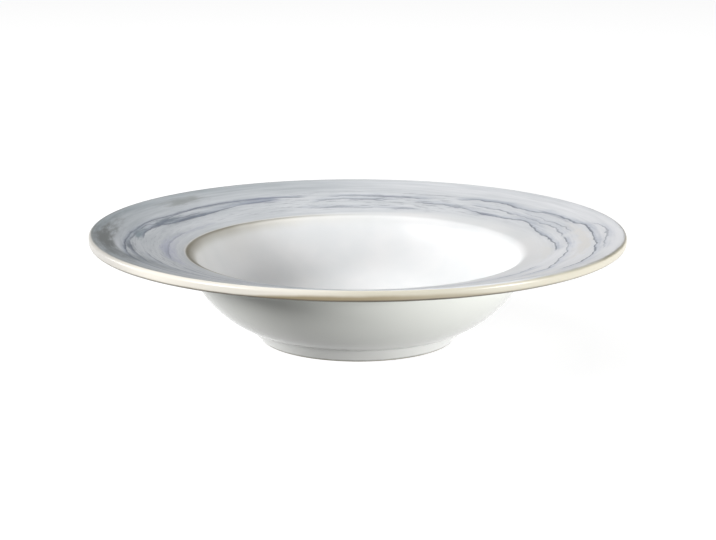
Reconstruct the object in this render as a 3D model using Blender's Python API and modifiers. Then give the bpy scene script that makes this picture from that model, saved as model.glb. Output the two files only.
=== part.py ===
"""Pasta plate: a round ceramic plate with a deep well, a wide sloping rim and a turned foot ring.

The plate is one fired body, so it is one solid of revolution. Its section is a chain of straight runs
whose corners are rounded by arcs. Lengths are in metres, heights start at the table, and +Z is up.
"""

from math import acos, atan2, ceil, cos, hypot, pi, radians, sin, tan

import bpy

# Overall size
RIM_DIAMETER = 0.280
OVERALL_HEIGHT = 0.0588

# Rim and lip
RIM_SLOPE = radians(12.0)
RIM_THICKNESS = 0.0054
LIP_ROUND = 0.0019
SHOULDER_ROUND = 0.005

# Bowl, measured on its outside
THROAT_DIAMETER = 0.1814
THROAT_ROUND = 0.006
BELLY_DIAMETER = 0.1592
BELLY_HEIGHT = 0.0176
BELLY_ROUND = 0.0598
WALL_THICKNESS = 0.0055

# Foot ring and floor
FOOT_TOP_DIAMETER = 0.1156
FOOT_HEIGHT = 0.0074
FOOT_DIAMETER = 0.1024
FOOT_WIDTH = 0.005
FOOT_NOTCH_ROUND = 0.0012
FOOT_EDGE_ROUND = 0.0007
RECESS_DEPTH = 0.0045
RECESS_ROUND = 0.002
FLOOR_THICKNESS = 0.006
FLOOR_ROUND = 0.022

# Fineness of the turned surface
TURN_STEPS = 96
CHORD_ERROR = 0.00008
FEWEST_FACETS = 2
AXIS_MERGE = 0.00001
SHARP_ANGLE = radians(40.0)

# Finish
GLAZE_COLOUR = (0.71, 0.73, 0.75, 1.0)
GLAZE_ROUGHNESS = 0.22
GLAZE_METALLIC = 0.0


def clear_scene():
    """Remove every object that the scene holds."""
    for obj in list(bpy.data.objects):
        bpy.data.objects.remove(obj, do_unlink=True)


def make_collection(name):
    """Return a new collection that is linked to the scene."""
    collection = bpy.data.collections.new(name)
    bpy.context.scene.collection.children.link(collection)
    return collection


def make_glaze(name):
    """Return the plain glaze that covers the plate."""
    material = bpy.data.materials.new(name)
    material.use_nodes = True
    shader = material.node_tree.nodes["Principled BSDF"]
    shader.inputs["Base Color"].default_value = GLAZE_COLOUR
    shader.inputs["Roughness"].default_value = GLAZE_ROUGHNESS
    shader.inputs["Metallic"].default_value = GLAZE_METALLIC
    material.diffuse_color = GLAZE_COLOUR
    return material


def shifted(start, end, distance):
    """Move a run of the section sideways, to the left of its direction."""
    along_r, along_z = end[0] - start[0], end[1] - start[1]
    length = hypot(along_r, along_z)
    move_r, move_z = -along_z / length * distance, along_r / length * distance
    return (start[0] + move_r, start[1] + move_z), (end[0] + move_r, end[1] + move_z)


def crossing(first, second):
    """Return the point where two runs, made longer if need be, cross."""
    (ar, az), (br, bz) = first
    (cr, cz), (dr, dz) = second
    across = (br - ar) * (dz - cz) - (bz - az) * (dr - cr)
    share = ((cr - ar) * (dz - cz) - (cz - az) * (dr - cr)) / across
    return ar + share * (br - ar), az + share * (bz - az)


def corner_turn(before, corner, after):
    """Return the unit directions from a corner to its neighbours, and half of the angle between them."""
    in_r, in_z = before[0] - corner[0], before[1] - corner[1]
    out_r, out_z = after[0] - corner[0], after[1] - corner[1]
    in_length, out_length = hypot(in_r, in_z), hypot(out_r, out_z)
    inward = (in_r / in_length, in_z / in_length)
    outward = (out_r / out_length, out_z / out_length)
    half = acos(max(-1.0, min(1.0, inward[0] * outward[0] + inward[1] * outward[1]))) / 2
    return inward, outward, half


def corner_arc(corner, inward, outward, half, reach):
    """Return the points of the arc that rounds a corner and starts and ends at this reach from it."""
    radius = reach * tan(half)
    middle_r, middle_z = inward[0] + outward[0], inward[1] + outward[1]
    to_centre = radius / sin(half) / hypot(middle_r, middle_z)
    centre_r, centre_z = corner[0] + middle_r * to_centre, corner[1] + middle_z * to_centre
    start = atan2(corner[1] + inward[1] * reach - centre_z, corner[0] + inward[0] * reach - centre_r)
    end = atan2(corner[1] + outward[1] * reach - centre_z, corner[0] + outward[0] * reach - centre_r)
    turn = (end - start + pi) % (2 * pi) - pi
    facet = 2 * acos(1 - CHORD_ERROR / max(radius, CHORD_ERROR))
    count = max(FEWEST_FACETS, ceil(abs(turn) / facet))
    angles = [start + turn * step / count for step in range(count + 1)]
    return [(centre_r + radius * cos(angle), centre_z + radius * sin(angle)) for angle in angles]


def rounded_chain(corners):
    """Turn (radius, height, rounding) corners into the points of a smooth section.

    Where two roundings are too large for the run between them, both are limited to share it.
    """
    places = [corner[:2] for corner in corners]
    turns = [corner_turn(*three) for three in zip(places, places[1:], places[2:])]
    reaches = [corner[2] / tan(turn[2]) for corner, turn in zip(corners[1:], turns)]
    reaches = [0.0, *reaches, 0.0]
    shares = []
    for index in range(len(places) - 1):
        run = hypot(places[index + 1][0] - places[index][0], places[index + 1][1] - places[index][1])
        wanted = reaches[index] + reaches[index + 1]
        shares.append(min(1.0, run / wanted) if wanted else 1.0)
    points = [places[0]]
    for index, (inward, outward, half) in enumerate(turns, start=1):
        reach = reaches[index] * min(shares[index - 1], shares[index])
        points += corner_arc(places[index], inward, outward, half, reach)
    points.append(places[-1])
    return points


def rim_run():
    """Return the rim's top as a straight run from the plate's axis to the corner of the lip."""
    lip_rise = LIP_ROUND * (tan(RIM_SLOPE) + 1 / cos(RIM_SLOPE) - 1)
    lip_height = OVERALL_HEIGHT + lip_rise
    lip_radius = RIM_DIAMETER / 2
    return (0.0, lip_height - lip_radius * tan(RIM_SLOPE)), (lip_radius, lip_height)


def plate_section():
    """Return the section from the middle of the well, over the lip, to the middle of the underside."""
    rim_top = rim_run()
    rim_under = shifted(*rim_top, -RIM_THICKNESS)
    lip_radius = RIM_DIAMETER / 2
    lip_face = ((lip_radius, 0.0), (lip_radius, OVERALL_HEIGHT))
    throat_radius = THROAT_DIAMETER / 2
    throat = crossing(rim_under, ((throat_radius, 0.0), (throat_radius, OVERALL_HEIGHT)))
    belly = (BELLY_DIAMETER / 2, BELLY_HEIGHT)
    foot_top = (FOOT_TOP_DIAMETER / 2, FOOT_HEIGHT)
    foot_outer = FOOT_DIAMETER / 2
    foot_inner = foot_outer - FOOT_WIDTH

    # The inside of the well runs parallel to its outside
    inner_wall = shifted(belly, throat, WALL_THICKNESS)
    inner_base = shifted(foot_top, belly, WALL_THICKNESS)
    floor_height = RECESS_DEPTH + FLOOR_THICKNESS
    floor = ((0.0, floor_height), (lip_radius, floor_height))

    return rounded_chain([
        (0.0, floor_height, 0.0),
        (*crossing(floor, inner_base), FLOOR_ROUND),
        (*crossing(inner_base, inner_wall), BELLY_ROUND - WALL_THICKNESS),
        (*crossing(inner_wall, rim_top), SHOULDER_ROUND),
        (*rim_top[1], LIP_ROUND),
        (*crossing(rim_under, lip_face), LIP_ROUND),
        (*throat, THROAT_ROUND),
        (*belly, BELLY_ROUND),
        (*foot_top, FOOT_NOTCH_ROUND),
        (foot_outer, 0.0, FOOT_EDGE_ROUND),
        (foot_inner, 0.0, FOOT_EDGE_ROUND),
        (foot_inner, RECESS_DEPTH, RECESS_ROUND),
        (0.0, RECESS_DEPTH, 0.0),
    ])


def turn_solid(name, section, material, collection):
    """Turn a section about the Z axis into a closed solid."""
    outline = bpy.data.meshes.new(name + "_section")
    links = [(index, index + 1) for index in range(len(section) - 1)]
    outline.from_pydata([(radius, 0.0, height) for radius, height in section], links, [])
    solid = bpy.data.objects.new(name, outline)
    collection.objects.link(solid)
    screw = solid.modifiers.new("turn", "SCREW")
    screw.axis = "Z"
    screw.steps = TURN_STEPS
    screw.render_steps = TURN_STEPS
    screw.use_merge_vertices = True
    screw.merge_threshold = AXIS_MERGE

    # The turned surface becomes a plain mesh, so that it can hold sharp edges
    graph = bpy.context.evaluated_depsgraph_get()
    mesh = bpy.data.meshes.new_from_object(solid.evaluated_get(graph))
    mesh.name = name
    solid.modifiers.clear()
    solid.data = mesh
    bpy.data.meshes.remove(outline)
    mesh.shade_smooth()
    mesh.set_sharp_from_angle(angle=SHARP_ANGLE)
    mesh.materials.append(material)
    return solid


def main():
    """Build the plate."""
    clear_scene()
    plate = make_collection("pasta_plate")
    glaze = make_glaze("plate_glaze")
    turn_solid("plate_body", plate_section(), glaze, plate)


main()
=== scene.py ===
"""Dressed pasta plate: a turned body with a brushed rim, a white well, a cream lip and a bare foot ring.

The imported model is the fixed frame. A Geometry Nodes tree turns the plate's rounded section into a fine
surface, and one glaze made of nodes dresses it in four coats. A pale floor, soft boxes and a camera finish
the scene. Lengths are in metres, +Z is up, and the viewer stands towards -Y.
"""

import logging
from dataclasses import dataclass, field, replace
from enum import Enum
from math import acos, atan2, ceil, cos, hypot, pi, radians, sin, tan
from typing import Any

import bpy
from mathutils import Matrix, Vector


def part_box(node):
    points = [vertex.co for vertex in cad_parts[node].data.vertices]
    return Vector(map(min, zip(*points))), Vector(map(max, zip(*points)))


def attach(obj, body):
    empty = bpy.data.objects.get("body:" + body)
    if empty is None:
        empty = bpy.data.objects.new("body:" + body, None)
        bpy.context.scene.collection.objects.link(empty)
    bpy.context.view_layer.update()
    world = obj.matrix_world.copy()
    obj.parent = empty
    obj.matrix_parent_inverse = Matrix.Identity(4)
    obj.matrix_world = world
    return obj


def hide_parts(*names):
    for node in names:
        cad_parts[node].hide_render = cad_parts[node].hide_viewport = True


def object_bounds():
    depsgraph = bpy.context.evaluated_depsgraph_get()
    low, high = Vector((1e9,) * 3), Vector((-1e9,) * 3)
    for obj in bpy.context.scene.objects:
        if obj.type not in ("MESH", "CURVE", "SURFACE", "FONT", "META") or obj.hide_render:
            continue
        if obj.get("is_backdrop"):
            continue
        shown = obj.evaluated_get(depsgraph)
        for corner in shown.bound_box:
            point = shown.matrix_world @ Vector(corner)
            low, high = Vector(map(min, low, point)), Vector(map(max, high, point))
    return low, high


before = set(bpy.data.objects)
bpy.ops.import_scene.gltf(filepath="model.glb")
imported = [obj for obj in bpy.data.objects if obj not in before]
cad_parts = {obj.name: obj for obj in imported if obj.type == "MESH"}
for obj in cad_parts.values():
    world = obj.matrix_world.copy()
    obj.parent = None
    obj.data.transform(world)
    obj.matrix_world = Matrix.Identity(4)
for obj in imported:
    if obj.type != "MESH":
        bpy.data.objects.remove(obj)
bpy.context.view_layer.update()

LOG = logging.getLogger("pasta_plate")
BODY = "root"
NODE = "plate_body"
RUN = "section_run"
MM = 0.001
WHITE = (1.0, 1.0, 1.0, 1.0)

Point = tuple[float, float]
Line = tuple[Point, Point]
Feed = Any
Socket = bpy.types.NodeSocket


def srgb(*levels: float) -> tuple[float, ...]:
    """Turn a colour as a screen shows it into the light that a shader works with.

    Args:
        *levels: Red, green and blue from 0 to 255.

    Returns:
        The linear colour, with an alpha of 1.
    """
    shares = [level / 255.0 for level in levels]
    linear = [share / 12.92 if share <= 0.04045 else ((share + 0.055) / 1.055) ** 2.4 for share in shares]
    return *linear, 1.0


class Mark(Enum):
    """The named corners of the plate's section, from the well over the lip to the underside."""

    WELL_CENTRE = "well centre"
    FLOOR_CURVE = "floor curve"
    WELL_CURVE = "well curve"
    SHOULDER = "shoulder"
    LIP_TOP = "lip top"
    LIP_UNDER = "lip under"
    THROAT = "throat"
    BELLY = "belly"
    FOOT_NOTCH = "foot notch"
    FOOT_OUTER = "foot outer"
    FOOT_INNER = "foot inner"
    RECESS_EDGE = "recess edge"
    RECESS_CENTRE = "recess centre"


@dataclass(frozen=True)
class Corner:
    """A corner of the section, with the radius of the arc that rounds it."""

    mark: Mark
    radius: float
    height: float
    rounding: float = 0.0

    @property
    def place(self) -> Vector:
        """Return the corner as a point of the section."""
        return Vector((self.radius, self.height))


@dataclass
class Section:
    """The rounded section: its points, how far along it each lies, and where each corner's arc runs."""

    points: list[Point] = field(default_factory=list)
    runs: list[float] = field(default_factory=list)
    arcs: dict[Mark, Point] = field(default_factory=dict)

    def add(self, point: Point) -> None:
        """Add a point, and the length of the section up to it.

        Args:
            point: The next point, as a radius and a height.
        """
        last = self.points[-1] if self.points else point
        before = self.runs[-1] if self.runs else 0.0
        self.runs.append(before + hypot(point[0] - last[0], point[1] - last[1]))
        self.points.append(point)

    def start(self, mark: Mark) -> float:
        """Return how far along the section a corner's arc starts."""
        return self.arcs[mark][0]

    def end(self, mark: Mark) -> float:
        """Return how far along the section a corner's arc ends."""
        return self.arcs[mark][1]

    def middle(self, mark: Mark) -> float:
        """Return how far along the section the middle of a corner's arc lies."""
        return sum(self.arcs[mark]) / 2


def shifted(line: Line, distance: float) -> Line:
    """Move a line of the section sideways.

    Args:
        line: The line's two points.
        distance: How far to move it, to the left of its direction.

    Returns:
        The moved line.
    """
    (start_r, start_z), (end_r, end_z) = line
    length = hypot(end_r - start_r, end_z - start_z)
    move_r = -(end_z - start_z) / length * distance
    move_z = (end_r - start_r) / length * distance
    return (start_r + move_r, start_z + move_z), (end_r + move_r, end_z + move_z)


def crossing(first: Line, second: Line) -> Point:
    """Find where two lines of the section, made longer if need be, cross.

    Args:
        first: One line.
        second: The other line.

    Returns:
        The point that lies on both.
    """
    (ar, az), (br, bz) = first
    (cr, cz), (dr, dz) = second
    across = (br - ar) * (dz - cz) - (bz - az) * (dr - cr)
    share = ((cr - ar) * (dz - cz) - (cz - az) * (dr - cr)) / across
    return ar + share * (br - ar), az + share * (bz - az)


@dataclass(frozen=True)
class RingSpacing:
    """How close together the rings of the turned surface lie."""

    step: float = 0.0013
    shortest: float = 0.000013
    turn: float = radians(7.0)
    fewest: int = 3

    def along(self, length: float) -> int:
        """Return how many steps a straight stretch of this length takes, 0 if it is too short for one."""
        return max(1, ceil(length / self.step)) if length >= self.shortest else 0

    def around(self, radius: float, angle: float) -> int:
        """Return how many steps an arc of this radius and angle takes."""
        return max(self.fewest, ceil(abs(angle) / self.turn), ceil(radius * abs(angle) / self.step))


@dataclass(frozen=True)
class SectionRounder:
    """Rounds the corners of a chain of straight runs, and spaces the points for the rings.

    The corners are in order, the first and the last on the plate's axis.
    """

    corners: list[Corner]
    spacing: RingSpacing

    def _sides(self, index: int) -> tuple[Vector, Vector, float]:
        """Look from a corner to its neighbours.

        Args:
            index: The corner's number.

        Returns:
            The unit directions to the corners before and after it, and half the angle between them.
        """
        here = self.corners[index].place
        before = (self.corners[index - 1].place - here).normalized()
        after = (self.corners[index + 1].place - here).normalized()
        return before, after, acos(max(-1.0, min(1.0, before.dot(after)))) / 2

    def _fitted_reaches(self) -> list[float]:
        """Find how far each arc reaches from its corner, where two that share a run fit into it.

        Returns:
            One reach for each corner, 0 at both ends.
        """
        last = len(self.corners) - 1
        wanted = [0.0] * (last + 1)
        for index in range(1, last):
            wanted[index] = self.corners[index].rounding / tan(self._sides(index)[2])
        shares = []
        for index in range(last):
            run = (self.corners[index + 1].place - self.corners[index].place).length
            both = wanted[index] + wanted[index + 1]
            shares.append(min(1.0, run / both) if both else 1.0)
        fitted = [0.0] * (last + 1)
        for index in range(1, last):
            fitted[index] = wanted[index] * min(shares[index - 1], shares[index])
        return fitted

    def _arc(self, index: int, reach: float) -> list[Point]:
        """Round one corner.

        Args:
            index: The corner's number.
            reach: How far its arc reaches along its runs.

        Returns:
            The points of its arc, both ends included.
        """
        before, after, half = self._sides(index)
        corner = self.corners[index].place
        radius = reach * tan(half)
        centre = corner + (before + after).normalized() * (radius / sin(half))
        first, final = corner + before * reach - centre, corner + after * reach - centre
        start, end = atan2(first.y, first.x), atan2(final.y, final.x)
        angle = (end - start + pi) % (2 * pi) - pi
        count = self.spacing.around(radius, angle)
        steps = [start + angle * number / count for number in range(count + 1)]
        return [(centre.x + radius * cos(step), centre.y + radius * sin(step)) for step in steps]

    def _straight(self, section: Section, end: Point) -> None:
        """Add evenly spaced points from the section's last point to this one.

        Args:
            section: The section so far.
            end: The point to reach.
        """
        start = Vector(section.points[-1])
        count = self.spacing.along((Vector(end) - start).length)
        for number in range(1, count + 1):
            section.add(tuple(start.lerp(Vector(end), number / count)))

    def section(self) -> Section:
        """Round every corner in turn.

        Returns:
            The finished section.
        """
        made = Section()
        made.add(tuple(self.corners[0].place))
        made.arcs[self.corners[0].mark] = (0.0, 0.0)
        reaches = self._fitted_reaches()
        for index in range(1, len(self.corners) - 1):
            arc = self._arc(index, reaches[index])
            self._straight(made, arc[0])
            started = made.runs[-1]
            for point in arc[1:]:
                made.add(point)
            made.arcs[self.corners[index].mark] = (started, made.runs[-1])
        self._straight(made, tuple(self.corners[-1].place))
        made.arcs[self.corners[-1].mark] = (made.runs[-1], made.runs[-1])
        return made


class NodeBench:
    """Adds nodes to a tree and links them, for shaders and for geometry alike."""

    def __init__(self, tree: bpy.types.NodeTree) -> None:
        """Keep the tree, emptied of its nodes."""
        self.tree = tree
        tree.nodes.clear()

    def feed(self, socket: Socket, value: Feed) -> None:
        """Link an output to a socket, or set the socket's own value.

        Args:
            socket: The input to feed.
            value: An output socket, or a plain value.
        """
        if isinstance(value, Socket):
            self.tree.links.new(value, socket)
        else:
            socket.default_value = value

    def add(self, kind: str, inputs: dict[str | int, Feed] | None = None, **settings: Any) -> bpy.types.Node:
        """Add one node.

        Args:
            kind: The node's type name.
            inputs: What feeds its inputs, by the input's name or number.
            **settings: The node's own options.

        Returns:
            The new node.
        """
        node = self.tree.nodes.new(kind)
        for name, value in settings.items():
            setattr(node, name, value)
        for name, value in (inputs or {}).items():
            self.feed(node.inputs[name], value)
        return node

    def out(self, kind: str, inputs: dict[str | int, Feed] | None = None, **settings: Any) -> Socket:
        """Add one node, and return its first output."""
        return self.add(kind, inputs, **settings).outputs[0]

    def number(self, operation: str, *values: Feed) -> Socket:
        """Work with one to three numbers, by a Math node's operation."""
        return self.out("ShaderNodeMath", dict(enumerate(values)), operation=operation)

    def plus(self, first: Feed, second: Feed) -> Socket:
        """Add two numbers."""
        return self.number("ADD", first, second)

    def minus(self, first: Feed, second: Feed) -> Socket:
        """Take the second number from the first."""
        return self.number("SUBTRACT", first, second)

    def times(self, first: Feed, second: Feed) -> Socket:
        """Multiply two numbers."""
        return self.number("MULTIPLY", first, second)

    def over(self, first: Feed, second: Feed) -> Socket:
        """Divide the first number by the second."""
        return self.number("DIVIDE", first, second)

    def sized(self, place: Feed, factor: Feed) -> Socket:
        """Make a place or a direction longer or shorter by a factor."""
        return self.out("ShaderNodeVectorMath", {0: place, "Scale": factor}, operation="SCALE")


class ShaderBench(NodeBench):
    """Shader nodes in short steps: directions, masks, curves and mixes."""

    def vector(self, operation: str, *values: Feed) -> bpy.types.Node:
        """Work with directions and places, and return the node, which gives a vector or a number."""
        return self.add("ShaderNodeVectorMath", dict(enumerate(values)), operation=operation)

    def rise(self, value: Feed, low: Feed, high: Feed, to: Feed = 1.0) -> Socket:
        """Climb softly from 0 to a level while a value goes from low to high."""
        inputs = {"Value": value, "From Min": low, "From Max": high, "To Max": to}
        return self.out("ShaderNodeMapRange", inputs, interpolation_type="SMOOTHSTEP")

    def scaled(self, value: Feed, low: Feed, high: Feed) -> Socket:
        """Turn a level from 0 to 1 into one from low to high, evenly."""
        inputs = {"Value": value, "To Min": low, "To Max": high}
        return self.out("ShaderNodeMapRange", inputs, clamp=False)

    def curve(self, value: Feed, points: tuple[Point, ...]) -> Socket:
        """Follow a smooth curve.

        Args:
            value: What is measured, from 0 to 1.
            points: The curve's points in order, each from 0 to 1 both ways.

        Returns:
            The curve's level at that value.
        """
        node = self.add("ShaderNodeFloatCurve", {"Value": value})
        knots = node.mapping.curves[0].points
        knots[0].location, knots[1].location = points[0], points[-1]
        for point in points[1:-1]:
            knots.new(*point)
        for knot in knots:
            knot.handle_type = "AUTO_CLAMPED"
        node.mapping.update()
        return node.outputs[0]

    def mix(self, share: Feed, first: Feed, second: Feed, blend: str = "MIX") -> Socket:
        """Mix two colours by a share of the second, or of another way to blend them."""
        inputs = {0: share, 6: first, 7: second}
        return self.add("ShaderNodeMix", inputs, data_type="RGBA", blend_type=blend).outputs[2]

    def mix_number(self, share: Feed, first: Feed, second: Feed) -> Socket:
        """Mix two numbers by a share of the second."""
        return self.out("ShaderNodeMix", {0: share, 2: first, 3: second}, data_type="FLOAT")


@dataclass(frozen=True)
class Coat:
    """What one finish gives to the shader: its colour, roughness and height over the body."""

    colour: Feed
    roughness: Feed
    height: Feed


@dataclass(frozen=True)
class Grain:
    """A cloudy pattern, with the size of its features and how many finer layers it has.

    With a size across, its features are drawn out around the plate. Without one, they are as long as wide.
    """

    around: float
    across: float | None = None
    detail: float = 2.0
    rough: float = 0.5
    seed: float = 0.0


class Surface(ShaderBench):
    """A shader that knows its place on the plate: along the section, out from the axis and around it.

    Degrees go from -90 to 270, which meet at the front, with 0 at the right side and 90 at the far side.
    """

    WANDER = Grain(0.012, 0.05, detail=3.0)

    def __init__(self, tree: bpy.types.NodeTree, section: Section, mid_radius: float) -> None:
        """Read the place on the plate.

        Args:
            tree: Where the nodes are made.
            section: The plate's section, for the places of its corners.
            mid_radius: The radius at which a length around the rim is measured.
        """
        super().__init__(tree)
        self.section = section
        self.mid_radius = mid_radius
        self.place = self.add("ShaderNodeTexCoord").outputs["Object"]
        flat = self.vector("MULTIPLY", self.place, (1.0, 1.0, 0.0)).outputs[0]
        self.radius = self.vector("LENGTH", flat).outputs["Value"]
        self.heading = self.vector("NORMALIZE", flat).outputs[0]
        parts = self.add("ShaderNodeSeparateXYZ", {0: flat}).outputs
        turn = self.number("ARCTAN2", self.times(parts["X"], -1.0), parts["Y"])
        self.degrees = self.number("MULTIPLY_ADD", turn, 180.0 / pi, 90.0)
        self.run = self.add("ShaderNodeAttribute", attribute_name=RUN).outputs["Fac"]

    def towards(self, degrees: float) -> Socket:
        """Measure how far a place faces a side: 1 on that side, and -1 on the opposite one."""
        side = (cos(radians(degrees)), sin(radians(degrees)), 0.0)
        return self.vector("DOT_PRODUCT", self.heading, side).outputs["Value"]

    def grain(self, grain: Grain) -> Socket:
        """Make the level of a cloudy pattern. Where it is drawn out around the plate, it has no seam.

        Args:
            grain: The pattern.

        Returns:
            Its level from 0 to 1.
        """
        if grain.across:
            ring = self.sized(self.heading, self.mid_radius / grain.around)
            level = self.out("ShaderNodeCombineXYZ", {"Z": self.over(self.radius, grain.across)})
            place = self.vector("ADD", ring, level).outputs[0]
        else:
            place = self.sized(self.place, 1.0 / grain.around)
        inputs = {"Vector": place, "W": grain.seed, "Scale": 1.0, "Detail": grain.detail,
                  "Roughness": grain.rough}
        return self.out("ShaderNodeTexNoise", inputs, noise_dimensions="4D")

    def wandering(self, ragged: float, seed: float) -> Socket:
        """Measure along the section, with a wandering error up to this length that makes edges ragged."""
        wander = self.grain(replace(self.WANDER, seed=seed))
        return self.plus(self.run, self.scaled(wander, -ragged, ragged))

    def past(self, where: Feed, soft: Feed, ragged: float, seed: float) -> Socket:
        """Mask what lies past a place along the section, with a soft edge that wanders."""
        beyond = self.minus(self.wandering(ragged, seed), where)
        return self.rise(self.over(beyond, soft), -0.5, 0.5)


@dataclass(frozen=True)
class WhiteGlaze:
    """The glossy white glaze of the well, the underside and the foot's face, with painted light on the foot's
    face.
    """

    well: Feed = srgb(243, 243, 243)
    pooled: Feed = srgb(234, 236, 237)
    outside: Feed = srgb(241, 243, 237)
    # Painted light: the foot's face is lighter than the rest of the outside, standing in for the low light
    # that falls on it
    foot: Feed = srgb(250, 251, 247)
    cloud: Grain = Grain(0.035, detail=3.0, seed=3.1)
    cloud_levels: Point = (0.35, 0.7)
    gloss: Grain = Grain(0.02, seed=1.7)
    well_roughness: Point = (0.3, 0.36)
    outside_roughness: Point = (0.05, 0.09)
    ripple: Grain = Grain(0.009, detail=1.0, seed=6.2)
    ripple_height: float = 0.00001

    def coat(self, on: Surface) -> Coat:
        """Make the glaze: cooler where it pools in the well, glossier outside, with painted light on the
        foot's face.

        Args:
            on: The plate's surface.

        Returns:
            The white coat.
        """
        inside = on.mix(on.rise(on.grain(self.cloud), *self.cloud_levels), self.well, self.pooled)
        under = on.number("GREATER_THAN", on.run, on.section.end(Mark.LIP_TOP))
        # From the foot's notch down, the outside takes the foot's painted-light colour
        low = on.number("GREATER_THAN", on.run, on.section.middle(Mark.FOOT_NOTCH))
        colour = on.mix(under, inside, on.mix(low, self.outside, self.foot))
        gloss = on.grain(self.gloss)
        well, outside = on.scaled(gloss, *self.well_roughness), on.scaled(gloss, *self.outside_roughness)
        height = on.times(on.grain(self.ripple), self.ripple_height)
        return Coat(colour, on.mix_number(under, well, outside), height)


@dataclass(frozen=True)
class Vein:
    """A dark line in the rim glaze: sharp towards the well, and smoky towards the lip.

    Its path is a row of places, each in the surface's degrees and in millimetres from the axis. The line is
    sharp, and the smoke soft, between shares of their widths.
    """

    path: tuple[Point, ...]
    strength: float = 0.8
    width: float = 0.0012
    smoke: float = 0.006
    fade: float = 5.0
    sharp: Point = (-0.35, 0.15)
    soft: Point = (-0.2, 1.0)
    margin: float = 1.0

    def draw(self, on: Surface, reach: Feed) -> tuple[Socket, Socket]:
        """Draw the line and its smoky side.

        Args:
            on: The plate's surface.
            reach: The wandering distance from the axis that veins are measured by.

        Returns:
            The line's level, and the smoke's.
        """
        away = on.minus(reach, self._middle(on))
        shown = self._shown(on)
        starts, ends = (self.width * share for share in self.sharp)
        edge = on.rise(away, starts, ends)
        line = on.minus(edge, on.rise(away, ends, self.width))
        smoke = on.minus(edge, on.rise(away, *(self.smoke * share for share in self.soft)))
        return on.times(line, shown), on.times(smoke, shown)

    def _middle(self, on: Surface) -> Socket:
        """Follow the path's smooth curve.

        Args:
            on: The plate's surface.

        Returns:
            The line's distance from the axis on this side of the plate, in metres.
        """
        start, end = self.path[0][0], self.path[-1][0]
        reaches = [reach for _, reach in self.path]
        inner, outer = min(reaches) - self.margin, max(reaches) + self.margin
        wide, deep = end - start, outer - inner
        points = tuple(((turn - start) / wide, (reach - inner) / deep) for turn, reach in self.path)
        along = on.out("ShaderNodeMapRange", {"Value": on.degrees, "From Min": start, "From Max": end})
        return on.scaled(on.curve(along, points), inner * MM, outer * MM)

    def _shown(self, on: Surface) -> Socket:
        """Let the line fade out at both of its ends."""
        start, end = self.path[0][0], self.path[-1][0]
        starts = on.rise(on.degrees, start, start + self.fade, self.strength)
        return on.minus(starts, on.rise(on.degrees, end - self.fade, end, self.strength))


@dataclass(frozen=True)
class Smudge:
    """A soft cloud of another tone in the rim glaze, placed in degrees and millimetres like a vein."""

    place: Point
    half: Point
    colour: Feed
    strength: float
    fades: Point = (0.1, 1.15)

    def mask(self, on: Surface, edge: Feed) -> Socket:
        """Mask the cloud, with a streaky edge.

        Args:
            on: The plate's surface.
            edge: How far the edges of clouds wander, as a share of their size.

        Returns:
            The mask's socket.
        """
        turn = on.over(on.minus(on.degrees, self.place[0]), self.half[0])
        reach = on.over(on.minus(on.radius, self.place[1] * MM), self.half[1] * MM)
        both = on.out("ShaderNodeCombineXYZ", {"X": turn, "Y": reach})
        away = on.plus(on.vector("LENGTH", both).outputs["Value"], edge)
        return on.minus(self.strength, on.rise(away, *self.fades, self.strength))


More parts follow.
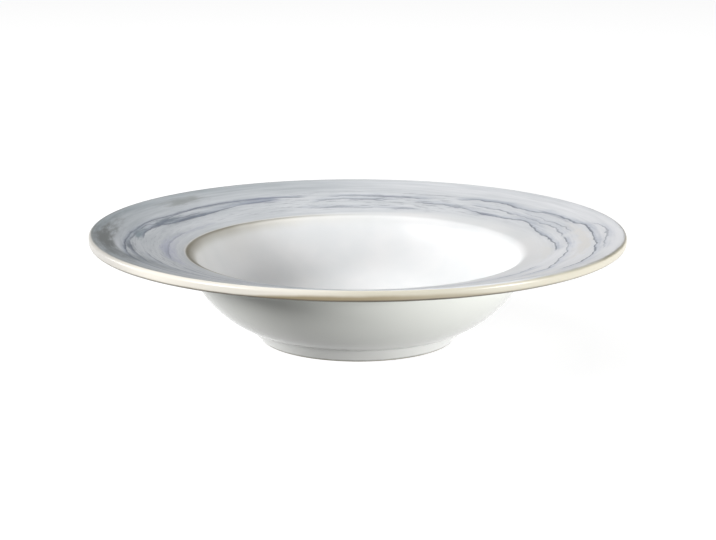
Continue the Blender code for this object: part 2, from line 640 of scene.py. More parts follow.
@dataclass(frozen=True)
class BrushedGlaze:
    """The blue-grey rim glaze, brushed on while the plate turns, with wandering darker veins.

    It is darkest on one side and palest on the other: partly where the glaze lies thicker and thinner, partly
    painted shade on the dark side and painted light on the pale side. The tones give its depth from the thin,
    pale side, at 0, to the thick, dark side, at 1. A facing is a pair of levels of facing the dark side, from
    -1 to 1.
    """

    # The thin tone is partly painted light, and the thick tone partly painted shade
    thin: Feed = srgb(246, 247, 250)
    thick: Feed = srgb(156, 164, 169)
    thick_and_shaded_side: float = 167.0
    tones: tuple[Point, ...] = ((0.0, 0.03), (0.14, 0.24), (0.6, 0.44), (0.85, 0.5), (1.0, 0.6))
    cloud: Grain = Grain(0.06, 0.014, detail=3.0, seed=4.6)
    cloud_depth: float = 0.25
    fine_streaks: Grain = Grain(0.03, 0.0022, 3.0, 0.65, 2.3)
    broad_streaks: Grain = Grain(0.09, 0.006, seed=7.9)
    streak_shares: Point = (0.6, 0.4)
    streak_depth: float = 0.45
    run_depth: float = 0.3
    run_facing: Point = (-0.1, 0.9)
    run_reach: Point = (0.112, 0.136)
    smudge_edge: Grain = Grain(0.009, 0.0022, 3.0, 0.6, 21.0)
    smoke: Feed = srgb(194, 202, 216)
    smoke_streaks: Point = (0.38, 0.62)
    smoke_strength: Point = (0.4, 1.0)
    vein: Feed = srgb(122, 127, 139)
    sway: Grain = Grain(0.011, 0.007, seed=1.0)
    sway_width: float = 0.0026
    bead: Grain = Grain(0.007, 0.005, detail=1.0, seed=1.5)
    bead_width: float = 0.0011
    steady: float = 0.45
    steady_facing: Point = (0.0, 0.8)
    gaps: Grain = Grain(0.014, 0.008, seed=1.25)
    gap_levels: Point = (0.3, 0.55)
    gap_strength: Point = (0.4, 1.0)
    dash: Grain = Grain(0.011, 0.0011, 3.0, 0.65, 5.2)
    dash_levels: Point = (0.51, 0.69)
    dash_starts: Point = (0.094, 0.101)
    dash_ends: Point = (0.117, 0.125)
    dashes: float = 0.7
    dashes_facing: Point = (-0.95, 0.1)
    dashes_lost: float = 0.42
    lost_facing: Point = (0.6, 0.95)
    roughness: Point = (0.34, 0.5)
    streak_height: float = 0.00003
    vein_height: float = 0.00004
    veins: tuple[Vein, ...] = (
        Vein(((-44, 130), (-28, 128.5), (-10, 124), (0, 123), (9, 124.5), (15, 121.3), (28, 120.6),
              (38, 117.4), (45, 119.6), (62, 116.6)), 0.9),
        Vein(((-20, 131), (-8, 129), (2, 130.5), (12, 128)), 0.5),
        Vein(((-52, 120.5), (-40, 118), (-30, 113), (-20, 110.5), (-5, 110), (6, 109.5)), 0.8),
        Vein(((4, 109), (10, 109.5), (18, 111), (24, 109.5), (40, 110.5), (56, 112)), 0.7),
        Vein(((6, 114), (16, 114.5), (26, 113.5), (38, 114.5)), 0.5),
        Vein(((-12, 104), (-4, 103.5), (8, 102), (14, 102), (22, 104), (30, 106), (40, 103.2), (48, 104.2),
              (62, 107.6), (74, 109)), 0.9),
        Vein(((66, 115), (76, 114), (88, 114.8), (100, 114)), 0.7),
        Vein(((76, 109.5), (92, 110.4), (106, 107.5)), 0.7),
        Vein(((68, 99), (78, 99), (98, 99.5), (112, 101)), 0.45),
        Vein(((104, 114), (116, 116.4), (136, 117.2), (150, 116.4), (160, 118.2), (176, 119), (190, 121.2),
              (200, 123.6), (214, 126), (240, 127)), 1.0, smoke=0.004),
        Vein(((112, 114), (124, 112), (134, 109.8), (147, 107.8), (158, 109.5), (170, 113.5), (182, 112.6)),
             1.0, smoke=0.008),
        Vein(((140, 113), (150, 111), (158, 113.4), (164, 112), (172, 115.5), (190, 118.8), (202, 119),
              (216, 122)), 0.8, smoke=0.004),
        Vein(((146, 115.6), (154, 115.2), (160, 113.6), (168, 117), (178, 117.4), (188, 119.6)), 0.9, 0.0009),
        Vein(((160, 98), (176, 98.6), (192, 99.4), (206, 102)), 0.4),
        Vein(((196, 112), (214, 113), (236, 116), (262, 118)), 0.7),
        Vein(((-84, 108), (-66, 110), (-48, 107), (-30, 104)), 0.7),
        Vein(((212, 103), (228, 105), (246, 103.5), (268, 106)), 0.6),
    )
    smudges: tuple[Smudge, ...] = (
        Smudge((190, 132), (25, 7.5), srgb(126, 129, 129), 1.0),
        Smudge((-60, 130), (26, 5.5), srgb(250, 250, 250), 1.0),
        Smudge((141, 128.5), (9, 5.5), srgb(150, 154, 154), 0.9),
        Smudge((207, 128), (9, 6), srgb(142, 147, 150), 0.9),
        Smudge((214, 121), (16, 8), srgb(158, 164, 168), 0.7),
        Smudge((190, 99.5), (24, 5), srgb(188, 190, 208), 0.7),
        Smudge((156, 97.5), (14, 1.6), srgb(180, 184, 196), 0.6),
        Smudge((-6, 118.5), (22, 5.5), srgb(238, 236, 233), 0.9),
        Smudge((-12, 99), (16, 5), srgb(236, 235, 232), 0.7),
        Smudge((177, 116), (9, 3.6), srgb(146, 160, 166), 0.9),
        Smudge((158, 113.5), (8, 4.5), srgb(138, 147, 154), 0.9),
        Smudge((147, 109), (11, 2.4), srgb(136, 142, 150), 0.9),
        Smudge((137, 116.8), (22, 1.8), srgb(150, 155, 165), 0.8),
        Smudge((121, 112.5), (9, 2.2), srgb(160, 164, 178), 0.7),
        Smudge((193, 119.5), (9, 2.2), srgb(138, 144, 150), 0.9),
        Smudge((195, 125.6), (14, 2), srgb(214, 217, 222), 0.7),
        Smudge((118, 116.5), (8, 2.2), srgb(156, 160, 176), 0.8),
        Smudge((98, 100), (9, 1.3), srgb(164, 168, 178), 0.6),
        Smudge((88, 110.2), (6, 1.5), srgb(160, 164, 176), 0.7),
        Smudge((79, 114.6), (7, 1.6), srgb(160, 164, 176), 0.7),
        Smudge((74, 100), (5, 1.5), srgb(164, 168, 178), 0.6),
        Smudge((46, 103.5), (7, 2), srgb(160, 164, 176), 0.8),
        Smudge((24, 120.5), (9, 1.6), srgb(164, 168, 180), 0.7),
    )

    def coat(self, on: Surface) -> Coat:
        """Make the glaze: broad tones, fine streaks, clouds and veins.

        Args:
            on: The plate's surface.

        Returns:
            The brushed coat.
        """
        streaks = self._streaks(on)
        colour = self._tones(on, streaks)
        edge = on.scaled(on.grain(self.smudge_edge), -1.0, 1.0)
        for smudge in self.smudges:
            colour = on.mix(smudge.mask(on, edge), colour, smudge.colour)
        lines, fill = self._veins(on)
        streaky = on.scaled(on.rise(streaks, *self.smoke_streaks), *self.smoke_strength)
        colour = on.mix(on.times(fill, streaky), colour, self.smoke, "MULTIPLY")
        colour = on.mix(lines, colour, self.vein)
        height = on.minus(on.times(streaks, self.streak_height), on.times(lines, self.vein_height))
        return Coat(colour, on.scaled(streaks, *self.roughness), height)

    def _streaks(self, on: Surface) -> Socket:
        """Make the fine marks of the brush's hairs, as a level from 0 to 1."""
        layers = zip((self.fine_streaks, self.broad_streaks), self.streak_shares)
        return on.plus(*(on.times(on.grain(grain), share) for grain, share in layers))

    def _tones(self, on: Surface, streaks: Feed) -> Socket:
        """Make the broad colours under the veins, darker towards one side partly as painted shade.

        Args:
            on: The plate's surface.
            streaks: The brush's fine marks.

        Returns:
            The colour's socket.
        """
        # Darker towards the thick side: partly the glaze's depth, partly painted shade
        facing = on.towards(self.thick_and_shaded_side)
        depth = on.curve(on.number("MULTIPLY_ADD", facing, 0.5, 0.5), self.tones)
        depth = on.plus(depth, on.scaled(on.grain(self.cloud), -self.cloud_depth, self.cloud_depth))
        depth = on.plus(depth, on.scaled(streaks, -self.streak_depth, self.streak_depth))

        # On its thick side the glaze has run towards the lip
        ran = on.rise(facing, *self.run_facing, self.run_depth)
        depth = on.plus(depth, on.times(ran, on.rise(on.radius, *self.run_reach)))
        return on.mix(depth, self.thin, self.thick)

    def _veins(self, on: Surface) -> tuple[Socket, Socket]:
        """Draw every vein, the steadier the thicker the glaze is.

        Args:
            on: The plate's surface.

        Returns:
            The lines' level, and the level of the smoke beside them.
        """
        loose = on.scaled(on.rise(on.towards(self.thick_and_shaded_side), *self.steady_facing), 1.0, self.steady)
        sway = on.scaled(on.grain(self.sway), -self.sway_width, self.sway_width)
        bead = on.number("ABSOLUTE", on.scaled(on.grain(self.bead), -self.bead_width, self.bead_width))
        reach = on.plus(on.plus(on.radius, on.times(sway, loose)), on.times(bead, loose))
        lines, fill = self.veins[0].draw(on, reach)
        for vein in self.veins[1:]:
            line, smoke = vein.draw(on, reach)
            lines = on.number("MAXIMUM", lines, line)
            fill = on.number("MAXIMUM", fill, smoke)
        shown = on.scaled(on.rise(on.grain(self.gaps), *self.gap_levels), *self.gap_strength)
        return on.number("MAXIMUM", on.times(lines, shown), self._dashes(on)), fill

    def _dashes(self, on: Surface) -> Socket:
        """Make the short dark dashes among the veins, missing on the thin side and fewer on the thick side.

        Args:
            on: The plate's surface.

        Returns:
            The dashes' level.
        """
        facing = on.towards(self.thick_and_shaded_side)
        marks = on.rise(on.grain(self.dash), *self.dash_levels)
        band = on.minus(on.rise(on.radius, *self.dash_starts), on.rise(on.radius, *self.dash_ends))
        lost = on.rise(facing, *self.lost_facing, self.dashes_lost)
        side = on.minus(on.rise(facing, *self.dashes_facing, self.dashes), lost)
        return on.times(marks, on.times(band, side))


@dataclass(frozen=True)
class CreamLip:
    """The lip, where the rim glaze has run off and the cream body shows through, tan at its lower edge.

    Each tone has the side that it lies on, and the levels of facing that side between which it grows. The
    cream is partly painted light, paler on the front-left side that the key soft box lights, and the chalk is
    painted shade, greyer on the left side.
    """

    cream: Feed = srgb(243, 238, 227)
    ivory: Feed = srgb(216, 211, 194)
    chalk: Feed = srgb(198, 195, 189)
    tan: Feed = srgb(160, 146, 118)
    olive: Feed = srgb(140, 137, 121)
    # Painted light on the cream side, partly the lip's own tone; painted shade on the chalk side
    lit_cream_side: float = 238.0
    lit_cream_facing: Point = (0.82, 0.98)
    shaded_chalk_side: float = 186.0
    shaded_chalk_facing: Point = (0.75, 0.95)
    tan_side: float = 273.0
    tan_facing: Point = (0.89, 0.99)
    tan_low: float = 0.0002
    tan_high: float = -0.0004
    tan_fade: float = 0.0018
    olive_low: float = 0.0008
    deep_facing: Point = (0.6, 0.9)
    deep_strength: Point = (0.55, 1.0)
    ragged: float = 0.0006
    ragged_seed: float = 2.9
    soft: Grain = Grain(0.008, detail=1.0, seed=11.0)
    roughness: Point = (0.3, 0.38)
    swell: float = 0.000004

    def coat(self, on: Surface) -> Coat:
        """Make the lip's glaze: cream, ivory or chalk above, tan then olive below, most tan at the front. The
        cream's paler side is partly painted light, and the chalk is painted shade.

        Args:
            on: The plate's surface.

        Returns:
            The cream coat.
        """
        top, under = on.section.end(Mark.LIP_TOP), on.section.start(Mark.LIP_UNDER)
        lowest = on.section.end(Mark.LIP_UNDER)
        run = on.wandering(self.ragged, self.ragged_seed)
        lit_side_facing = on.towards(self.lit_cream_side)
        # Paler cream on the lit side is partly painted light; greyer chalk on the left is painted shade
        pale = on.mix(on.rise(lit_side_facing, *self.lit_cream_facing), self.ivory, self.cream)
        pale = on.mix(on.rise(on.towards(self.shaded_chalk_side), *self.shaded_chalk_facing), pale, self.chalk)
        bare = on.rise(on.towards(self.tan_side), *self.tan_facing)
        deep = on.scaled(on.rise(lit_side_facing, *self.deep_facing), *self.deep_strength)
        below = on.minus(run, on.scaled(bare, under + self.tan_low, top + self.tan_high))
        colour = on.mix(on.rise(below, 0.0, self.tan_fade, deep), pale, self.tan)
        colour = on.mix(on.rise(run, under + self.olive_low, lowest, deep), colour, self.olive)
        soft = on.grain(self.soft)
        return Coat(colour, on.scaled(soft, *self.roughness), on.times(soft, self.swell))


@dataclass(frozen=True)
class BareClay:
    """The fired clay of the foot ring's resting face, left without glaze."""

    pale: Feed = srgb(206, 195, 176)
    dark: Feed = srgb(168, 154, 132)
    grain: Grain = Grain(0.0008, detail=3.0, rough=0.7, seed=13.3)
    dark_levels: Point = (0.35, 0.75)
    roughness: Point = (0.7, 0.9)
    grain_height: float = 0.00006

    def coat(self, on: Surface) -> Coat:
        """Make the clay's fine grain.

        Args:
            on: The plate's surface.

        Returns:
            The clay coat.
        """
        grain = on.grain(self.grain)
        colour = on.mix(on.rise(grain, *self.dark_levels), self.pale, self.dark)
        return Coat(colour, on.scaled(grain, *self.roughness), on.times(grain, self.grain_height))


@dataclass(frozen=True)
class GlazeAndShadeEdge:
    """A line along an edge of the plate. Some lines are where the glaze runs thin and the clay's brown shows
    through, and some are painted shade, darker where an edge or the wall beside it lies in shade.

    The line lies some way past the start or the end of a corner's arc, and has a width on each of its sides.
    It is strongest on one side of the plate, and grows between two levels of facing that side, from -1 to 1.
    """

    mark: Mark
    at_end: bool
    beyond: float
    widths: Point
    colour: Feed
    strength: float
    side: float = 0.0
    grows: Point = (-2.0, -1.0)
    seed: float = 0.0
    ragged: float = 0.4
    patch: Grain = Grain(0.04, 1.0, seed=0.5)
    patch_levels: Point = (0.3, 0.7)
    faintest: float = 0.6

    def over(self, on: Surface, colour: Feed) -> Socket:
        """Draw the line over a colour.

        Args:
            on: The plate's surface.
            colour: The colour below.

        Returns:
            The colour with the line on it.
        """
        where = (on.section.end if self.at_end else on.section.start)(self.mark) + self.beyond
        before, after = self.widths
        away = on.minus(on.wandering(min(self.widths) * self.ragged, self.seed), where)
        line = on.minus(on.rise(away, -before, 0.0), on.rise(away, 0.0, after))
        patch = on.grain(replace(self.patch, seed=self.patch.seed + self.seed))
        shown = on.scaled(on.rise(patch, *self.patch_levels), self.faintest * self.strength, self.strength)
        shown = on.times(shown, on.rise(on.towards(self.side), *self.grows))
        return on.mix(on.times(line, shown), colour, self.colour)


@dataclass(frozen=True)
class PlateGlaze:
    """The whole dressing of the plate: the white glaze, and over it the rim's, the lip's and the bare clay.

    Each border between two coats has its softness, how far it wanders, and a seed. The rim's first border has
    a softness of its own on each side of the plate.
    """

    name: str = "stoneware_glazes"
    white: WhiteGlaze = WhiteGlaze()
    rim: BrushedGlaze = BrushedGlaze()
    lip: CreamLip = CreamLip()
    clay: BareClay = BareClay()
    edges: tuple[GlazeAndShadeEdge, ...] = (
        GlazeAndShadeEdge(Mark.SHOULDER, True, -0.0017, (0.008, 0.005), srgb(222, 217, 200),
                 0.5, 165.0, (-0.2, 0.9), 5.5),
        # Painted shade: a broad grey along the left inner wall of the well, below the shoulder
        GlazeAndShadeEdge(Mark.SHOULDER, True, -0.0007, (0.03, 0.002), srgb(186, 184, 176),
                 0.6, 182.0, (0.3, 1.0), 3.5),
        # Partly painted shade, partly the clay's brown where the glaze runs thin: the dark band at the left
        # shoulder
        GlazeAndShadeEdge(Mark.SHOULDER, True, 0.0, (0.0085, 0.0013), srgb(146, 141, 124),
                 0.8, 184.0, (0.25, 1.0), 6.5),
        GlazeAndShadeEdge(Mark.SHOULDER, True, 0.0001, (0.0024, 0.001), srgb(116, 108, 88),
                 0.65, 172.0, (-0.1, 0.9), 4.5),
        GlazeAndShadeEdge(Mark.LIP_TOP, False, 0.0016, (0.0013, 0.0015), srgb(118, 113, 90),
                 0.95, 0.0, (0.45, 0.85), 7.5),
        # Painted shade: grey at the left lip's top edge, which curves away from the light
        GlazeAndShadeEdge(Mark.LIP_TOP, False, 0.0007, (0.0012, 0.0008), srgb(132, 134, 130),
                 0.7, 175.0, (-0.1, 0.6), 9.5),
        # Painted shade: a dark line on the lip's lower rounding, which faces down into shade
        GlazeAndShadeEdge(Mark.LIP_UNDER, True, -0.0012, (0.0009, 0.0016), srgb(84, 77, 64),
                 0.95, 250.0, (0.1, 0.8), 8.5),
        # Partly painted contact shadow, partly the bare clay's edge: a dark line at the foot's lower edge
        GlazeAndShadeEdge(Mark.FOOT_OUTER, False, -0.0002, (0.0016, 0.0012), srgb(146, 142, 128), 0.85, seed=12.5),
    )
    refraction: float = 1.5
    rim_starts: float = 0.0002
    rim_outset: float = 0.55
    rim_fades: Point = (0.0016, 0.014)
    rim_fade_side: float = 0.0
    rim_fade_facing: Point = (-0.55, 0.95)
    rim_ends: Point = (0.0019, 0.0009)
    rim_short_side: float = 232.0
    rim_short_facing: Point = (0.4, 0.85)
    clay_height: float = 0.0004
    rim_start_border: Point = (0.0007, 4.4)
    rim_end_border: tuple[float, float, float] = (0.0007, 0.0004, 1.3)
    lip_end_border: tuple[float, float, float] = (0.0005, 0.0003, 3.3)
    clay_start_border: tuple[float, float, float] = (0.0003, 0.0003, 7.7)
    clay_end_border: tuple[float, float, float] = (0.0003, 0.0003, 9.9)

    def material(self, section: Section, mid_radius: float) -> bpy.types.Material:
        """Build the material.

        Args:
            section: The plate's section.
            mid_radius: The rim's middle radius.

        Returns:
            The finished material.
        """
        material = bpy.data.materials.new(self.name)
        material.use_nodes = True
        on = Surface(material.node_tree, section, mid_radius)
        coat = self._coats(on)
        colour = coat.colour
        # The edge lines go over the coats; some of them are painted shade
        for edge in self.edges:
            colour = edge.over(on, colour)
        bump = on.out("ShaderNodeBump", {"Height": coat.height, "Distance": 1.0, "Strength": 1.0})
        shader = on.out("ShaderNodeBsdfPrincipled", {
            "Base Color": colour, "Roughness": coat.roughness, "Normal": bump, "IOR": self.refraction,
        })
        on.add("ShaderNodeOutputMaterial", {"Surface": shader})
        return material

    def _coats(self, on: Surface) -> Coat:
        """Lay the coats one over another, each from its place along the section.

        Args:
            on: The plate's surface.

        Returns:
            All of them as one coat.
        """
        section = on.section

        # The rim glaze ends in a crisp line at the left, and fades softly into the white at the right
        soft = on.scaled(on.rise(on.towards(self.rim_fade_side), *self.rim_fade_facing), *self.rim_fades)
        shoulder = section.end(Mark.SHOULDER) + self.rim_starts
        starts = on.number("MULTIPLY_ADD", soft, self.rim_outset, shoulder)
        short = on.rise(on.towards(self.rim_short_side), *self.rim_short_facing)
        ends = on.plus(on.scaled(short, *self.rim_ends), section.start(Mark.LIP_TOP))
        clay_starts = section.start(Mark.FOOT_OUTER) - self.clay_height
        clay_ends = section.end(Mark.FOOT_INNER) + self.clay_height

        white = self.white.coat(on)
        coat = white
        for over, where, *border in (
            (self.rim.coat(on), starts, soft, *self.rim_start_border),
            (self.lip.coat(on), ends, *self.rim_end_border),
            (white, section.end(Mark.LIP_UNDER), *self.lip_end_border),
            (self.clay.coat(on), clay_starts, *self.clay_start_border),
            (white, clay_ends, *self.clay_end_border),
        ):
            mask = on.past(where, *border)
            coat = Coat(
                on.mix(mask, coat.colour, over.colour),
                on.mix_number(mask, coat.roughness, over.roughness),
                on.mix_number(mask, coat.height, over.height),
            )
        return coat


@dataclass(frozen=True)
class TurningTree:
    """The Geometry Nodes tree that turns a section about the Z axis into a closed, rippled surface.

    The ripple fades out between two heights, so that the foot ring stays flat.
    """

    name: str = "turned_plate"
    steps: int = 240
    merge: float = 0.000001
    ripple: float = 0.00005
    ripple_size: float = 0.018
    ripple_starts: Point = (0.002, 0.008)
    seed: float = 2.0
    bake_map: str = "OFBake"

    def build(self, glaze: bpy.types.Material) -> tuple[bpy.types.NodeTree, dict[str, Any]]:
        """Build the tree.

        Args:
            glaze: The plate's material.

        Returns:
            The tree, and the value of each input by its identifier.
        """
        tree = bpy.data.node_groups.new(self.name, "GeometryNodeTree")
        face = tree.interface
        face.new_socket("Section", in_out="INPUT", socket_type="NodeSocketGeometry")
        values = {}
        for name, kind, value in (
            ("Turn steps", "Int", self.steps),
            ("Merge distance", "Float", self.merge),
            ("Ripple", "Float", self.ripple),
            ("Ripple size", "Float", self.ripple_size),
            ("Seed", "Float", self.seed),
            ("Glaze", "Material", glaze),
        ):
            socket = face.new_socket(name, in_out="INPUT", socket_type="NodeSocket" + kind)
            values[socket.identifier] = value
        face.new_socket("Plate", in_out="OUTPUT", socket_type="NodeSocketGeometry")

        bench = NodeBench(tree)
        given = bench.add("NodeGroupInput").outputs
        rippled = self._rippled(bench, given, self._turned(bench, given))
        smooth = bench.out("GeometryNodeSetShadeSmooth", {"Geometry": rippled})
        real = bench.out("GeometryNodeRealizeInstances", {"Geometry": smooth})
        dressed = bench.out("GeometryNodeSetMaterial", {"Geometry": real, "Material": given["Glaze"]})
        bench.add("NodeGroupOutput", {"Plate": dressed})
        return tree, values

    def _turned(self, bench: NodeBench, given: Any) -> Socket:
        """Lay a grid round the axis: one column for each step of the turn, one row for each point.

        Args:
            bench: Where the nodes are made.
            given: The tree's inputs.

        Returns:
            The closed surface.
        """
        section, steps = given["Section"], given["Turn steps"]
        rows = bench.out("GeometryNodeAttributeDomainSize", {"Geometry": section}, component="MESH")
        columns = bench.out("FunctionNodeIntegerMath", {0: steps, 1: 1}, operation="ADD")
        grid = bench.add("GeometryNodeMeshGrid", {
            "Size X": 1.0, "Size Y": 1.0, "Vertices X": columns, "Vertices Y": rows,
        }).outputs
        index = bench.out("GeometryNodeInputIndex")
        row = bench.out("FunctionNodeIntegerMath", {0: index, 1: rows}, operation="MODULO")
        column = bench.out("FunctionNodeIntegerMath", {0: index, 1: rows}, operation="DIVIDE_FLOOR")

        spot = {"Geometry": section, "Value": bench.out("GeometryNodeInputPosition"), "Index": row}
        spot = bench.out("GeometryNodeSampleIndex", spot, data_type="FLOAT_VECTOR", domain="POINT")
        along = bench.out("GeometryNodeInputNamedAttribute", {"Name": RUN}, data_type="FLOAT")
        run = {"Geometry": section, "Value": along, "Index": row}
        run = bench.out("GeometryNodeSampleIndex", run, data_type="FLOAT", domain="POINT")
        angle = bench.times(bench.over(column, steps), -2 * pi)
        turned = bench.out("ShaderNodeVectorRotate", {"Vector": spot, "Angle": angle}, rotation_type="Z_AXIS")

        # The values are stored on the flat grid, before the turn moves it
        surface = grid["Mesh"]
        for name, value, kind, domain in (
            (self.bake_map, grid["UV Map"], "FLOAT2", "CORNER"),
            (RUN, run, "FLOAT", "POINT"),
        ):
            surface = bench.out("GeometryNodeStoreNamedAttribute", {
                "Geometry": surface, "Name": name, "Value": value,
            }, data_type=kind, domain=domain)
        surface = bench.out("GeometryNodeSetPosition", {"Geometry": surface, "Position": turned})
        closing = {"Geometry": surface, "Distance": given["Merge distance"]}
        return bench.out("GeometryNodeMergeByDistance", closing)

    def _rippled(self, bench: NodeBench, given: Any, surface: Socket) -> Socket:
        """Let the fired surface swell and dip a little, but keep the foot ring flat.

        Args:
            bench: Where the nodes are made.
            given: The tree's inputs.
            surface: The turned surface.

        Returns:
            The rippled surface.
        """
        place = bench.out("GeometryNodeInputPosition")
        height = bench.add("ShaderNodeSeparateXYZ", {0: place}).outputs["Z"]
        low, high = self.ripple_starts
        free = bench.out("ShaderNodeMapRange", {"Value": height, "From Min": low, "From Max": high})
        scale = bench.over(1.0, given["Ripple size"])
        noise = {"Vector": place, "W": given["Seed"], "Scale": scale, "Detail": 1.0}
        noise = bench.out("ShaderNodeTexNoise", noise, noise_dimensions="4D")
        swell = bench.times(bench.times(bench.minus(noise, 0.5), given["Ripple"]), free)
        offset = bench.sized(bench.out("GeometryNodeInputNormal"), swell)
        return bench.out("GeometryNodeSetPosition", {"Geometry": surface, "Offset": offset})


@dataclass
class PlateBody:
    """The plate's one fired body, turned from its section and dressed in its glazes."""

    name: str = "pasta_plate"
    rim_diameter: float = field(init=False)
    height: float = field(init=False)
    rim_slope: float = radians(13.6)
    rim_under_slope: float = radians(12.0)
    rim_thickness: float = 0.0054
    lip_round: float = 0.0019
    shoulder_round: float = 0.0075
    throat_diameter: float = 0.1814
    throat_round: float = 0.006
    belly_diameter: float = 0.1592
    belly_height: float = 0.0176
    belly_round: float = 0.0598
    wall: float = 0.0055
    foot_top_diameter: float = 0.1156
    foot_height: float = 0.0074
    foot_diameter: float = 0.1024
    foot_width: float = 0.005
    foot_notch_round: float = 0.0012
    foot_edge_round: float = 0.0007
    recess_depth: float = 0.0045
    recess_round: float = 0.002
    floor: float = 0.006
    floor_round: float = 0.022
    spacing: RingSpacing = RingSpacing()
    tree: TurningTree = TurningTree()
    glaze: PlateGlaze = PlateGlaze()

    def __post_init__(self) -> None:
        """Take the overall size from the frame."""
        low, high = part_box(NODE)
        self.rim_diameter = high.x - low.x
        self.height = high.z - low.z

    def section(self) -> Section:
        """Work out the section from the middle of the well, over the lip, to the middle of the underside.

        Returns:
            The rounded section.
        """
        lip = self.rim_diameter / 2
        rim_top = self._rim_line(self.rim_slope)
        rim_under = shifted(self._rim_line(self.rim_under_slope), -self.rim_thickness)
        lip_face = ((lip, 0.0), (lip, self.height))
        throat_radius = self.throat_diameter / 2
        throat = crossing(rim_under, ((throat_radius, 0.0), (throat_radius, self.height)))
        belly = (self.belly_diameter / 2, self.belly_height)
        notch = (self.foot_top_diameter / 2, self.foot_height)
        foot_outer = self.foot_diameter / 2
        foot_inner = foot_outer - self.foot_width

        # The inside of the well runs parallel to its outside
        inner_wall = shifted((belly, throat), self.wall)
        inner_base = shifted((notch, belly), self.wall)
        floor_height = self.recess_depth + self.floor
        floor = ((0.0, floor_height), (lip, floor_height))
        corners = [
            Corner(Mark.WELL_CENTRE, 0.0, floor_height),
            Corner(Mark.FLOOR_CURVE, *crossing(floor, inner_base), self.floor_round),
            Corner(Mark.WELL_CURVE, *crossing(inner_base, inner_wall), self.belly_round - self.wall),
            Corner(Mark.SHOULDER, *crossing(inner_wall, rim_top), self.shoulder_round),
            Corner(Mark.LIP_TOP, *rim_top[1], self.lip_round),
            Corner(Mark.LIP_UNDER, *crossing(rim_under, lip_face), self.lip_round),
            Corner(Mark.THROAT, *throat, self.throat_round),
            Corner(Mark.BELLY, *belly, self.belly_round),
            Corner(Mark.FOOT_NOTCH, *notch, self.foot_notch_round),
            Corner(Mark.FOOT_OUTER, foot_outer, 0.0, self.foot_edge_round),
            Corner(Mark.FOOT_INNER, foot_inner, 0.0, self.foot_edge_round),
            Corner(Mark.RECESS_EDGE, foot_inner, self.recess_depth, self.recess_round),
            Corner(Mark.RECESS_CENTRE, 0.0, self.recess_depth),
        ]
        return SectionRounder(corners, self.spacing).section()

    def _rim_line(self, slope: float) -> Line:
        """Lay a line of this slope from the plate's axis to the corner of the lip.

        Args:
            slope: The line's angle with the table.

        Returns:
            The line, whose corner is high enough for the lip's rounding to reach the plate's height.
        """
        lip = self.rim_diameter / 2
        lip_height = self.height + self.lip_round * (tan(slope) + 1 / cos(slope) - 1)
        return (0.0, lip_height - lip * tan(slope)), (lip, lip_height)

    def build(self) -> bpy.types.Object:
        """Turn the section into the plate, and dress it.

        Returns:
            The plate's object, a plain mesh.
        """
        section = self.section()
        glaze = self.glaze.material(section, (self.rim_diameter + self.throat_diameter) / 4)
        outline = self._outline(section)
        holder = bpy.data.objects.new(self.name, outline)
        bpy.context.scene.collection.objects.link(holder)
        tree, values = self.tree.build(glaze)
        turn = holder.modifiers.new("turn", "NODES")
        turn.node_group = tree
        for key, value in values.items():
            turn[key] = value
        graph = bpy.context.evaluated_depsgraph_get()
        mesh = bpy.data.meshes.new_from_object(holder.evaluated_get(graph))
        mesh.name = self.name

        # A grid starts with an empty material slot, which the glaze's slot comes after
        mesh.materials.pop(index=0)
        holder.modifiers.clear()
        holder.data = mesh
        bpy.data.meshes.remove(outline)
        return holder

    def _outline(self, section: Section) -> bpy.types.Mesh:
        """Make the section a line of edges that also says how far along it each point lies.

        Args:
            section: The rounded section.

        Returns:
            The line's mesh.
        """
        outline = bpy.data.meshes.new(self.name + "_section")
        links = [(number, number + 1) for number in range(len(section.points) - 1)]
        outline.from_pydata([(radius, 0.0, height) for radius, height in section.points], links, [])
        run = outline.attributes.new(RUN, "FLOAT", "POINT")
        run.data.foreach_set("value", section.runs)
        return outline

    def attach(self, plate: bpy.types.Object) -> None:
        """Let the plate ride on the frame's body and stand for its node.

        Args:
            plate: The plate's object.
        """
        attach(plate, BODY)
        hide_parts(NODE)


@dataclass(frozen=True)
class SoftBox:
    """A soft box: a square light at a distance from the plate, turned to face it."""

    name: str
    side: float
    height: float
    size: float
    power: float
    distance: float = 2.0

    def build(self, aim: Vector) -> bpy.types.Object:
        """Make the light.

        Args:
            aim: The point that it faces.

        Returns:
            The light's object.
        """
        light = bpy.data.lights.new(self.name, "AREA")
        light.shape = "SQUARE"
        light.size = self.size
        light.energy = self.power
        box = bpy.data.objects.new(self.name, light)
        level = cos(self.height)
        out = Vector((sin(self.side) * level, -cos(self.side) * level, sin(self.height)))
        box.location = aim + out * self.distance
        box.rotation_euler = out.to_track_quat("Z", "Y").to_euler()
        bpy.context.scene.collection.objects.link(box)
        return box


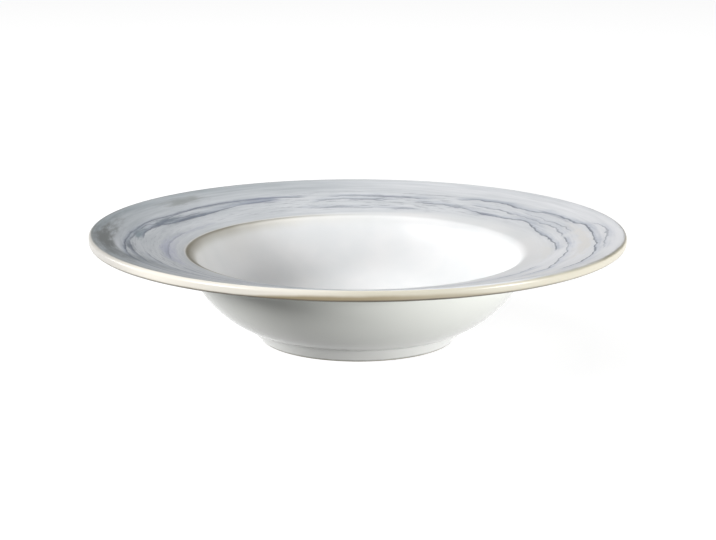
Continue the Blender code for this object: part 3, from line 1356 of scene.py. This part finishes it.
@dataclass(frozen=True)
class Studio:
    """The pale floor, the even light all round and the soft boxes."""

    floor_size: float = 12.0
    floor_gap: float = 0.0001
    floor_colour: Feed = srgb(114, 114, 114)
    shown_glow: float = 0.9
    shown_colour: Feed = (0.22, 0.22, 0.22, 1.0)
    room: float = 0.04
    boxes: tuple[SoftBox, ...] = (
        SoftBox("left_front_box", radians(-60.0), radians(23.5), 0.5, 37.0),
        SoftBox("right_box", radians(61.0), radians(5.0), 0.55, 48.0),
        SoftBox("left_box", radians(-110.0), radians(8.0), 0.5, 9.5),
        SoftBox("back_box", radians(180.0), radians(65.0), 1.6, 18.5),
    )

    def build(self, aim: Vector) -> None:
        """Make the floor, the room's light and the soft boxes.

        Args:
            aim: The point that the soft boxes face.
        """
        self._floor()
        self._room()
        for box in self.boxes:
            box.build(aim)

    def _floor(self) -> None:
        """Make the floor, which shows white but keeps the plate's shadow."""
        half = self.floor_size / 2
        mesh = bpy.data.meshes.new("studio_floor")
        corners = [(-half, -half, 0.0), (half, -half, 0.0), (half, half, 0.0), (-half, half, 0.0)]
        mesh.from_pydata(corners, [], [(0, 1, 2, 3)])
        material = bpy.data.materials.new("studio_floor")
        material.use_nodes = True
        bench = ShaderBench(material.node_tree)
        lit = bench.out("ShaderNodeBsdfDiffuse", {"Color": self.floor_colour})
        shade = bench.out("ShaderNodeBsdfDiffuse", {"Color": self.shown_colour})
        glow = bench.out("ShaderNodeEmission", {"Color": WHITE, "Strength": self.shown_glow})
        shown = bench.out("ShaderNodeAddShader", {0: shade, 1: glow})

        # Rays that show the floor find it white, and rays that light the plate find it grey
        path = bench.add("ShaderNodeLightPath").outputs
        seen = bench.number("MAXIMUM", path["Is Camera Ray"], path["Is Glossy Ray"])
        seen = bench.number("MAXIMUM", seen, path["Is Transmission Ray"])
        both = bench.out("ShaderNodeMixShader", {0: seen, 1: lit, 2: shown})
        bench.add("ShaderNodeOutputMaterial", {"Surface": both})
        mesh.materials.append(material)
        floor = bpy.data.objects.new("studio_floor", mesh)
        floor.location.z = -self.floor_gap
        bpy.context.scene.collection.objects.link(floor)
        floor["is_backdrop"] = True

    def _room(self) -> None:
        """Light the plate evenly from all round."""
        world = bpy.data.worlds.new("studio_room")
        world.use_nodes = True
        bench = ShaderBench(world.node_tree)
        room = bench.out("ShaderNodeBackground", {"Color": WHITE, "Strength": self.room})
        bench.add("ShaderNodeOutputWorld", {"Surface": room})
        bpy.context.scene.world = world


@dataclass(frozen=True)
class Viewer:
    """The camera at the photograph's place."""

    place: tuple[float, float, float] = (0.0002, -0.91, 0.2513)
    down: float = radians(13.344)
    roll: float = radians(0.129)
    lens: float = 88.98
    sensor: float = 36.0

    def build(self) -> bpy.types.Object:
        """Make the camera and look through it.

        Returns:
            The camera's object.
        """
        data = bpy.data.cameras.new("viewer")
        data.lens = self.lens
        data.sensor_width = self.sensor
        camera = bpy.data.objects.new("viewer", data)
        tilt = Matrix.Rotation(pi / 2 - self.down, 4, "X")
        camera.matrix_world = Matrix.Translation(self.place) @ tilt @ Matrix.Rotation(self.roll, 4, "Z")
        bpy.context.scene.collection.objects.link(camera)
        bpy.context.scene.camera = camera
        return camera


def main() -> None:
    """Build the plate, the studio and the camera."""
    logging.basicConfig(level=logging.INFO, format="%(name)s: %(message)s")
    bpy.context.scene.view_settings.view_transform = "Standard"
    body = PlateBody()
    plate = body.build()
    body.attach(plate)
    LOG.info("%s: %d faces", plate.name, len(plate.data.polygons))
    low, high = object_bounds()
    studio = Studio()
    studio.build((low + high) / 2)
    LOG.info("studio: %d soft boxes", len(studio.boxes))
    camera = Viewer().build()
    LOG.info("%s: lens %.1f mm", camera.name, camera.data.lens)


if __name__ == "__main__":
    main()
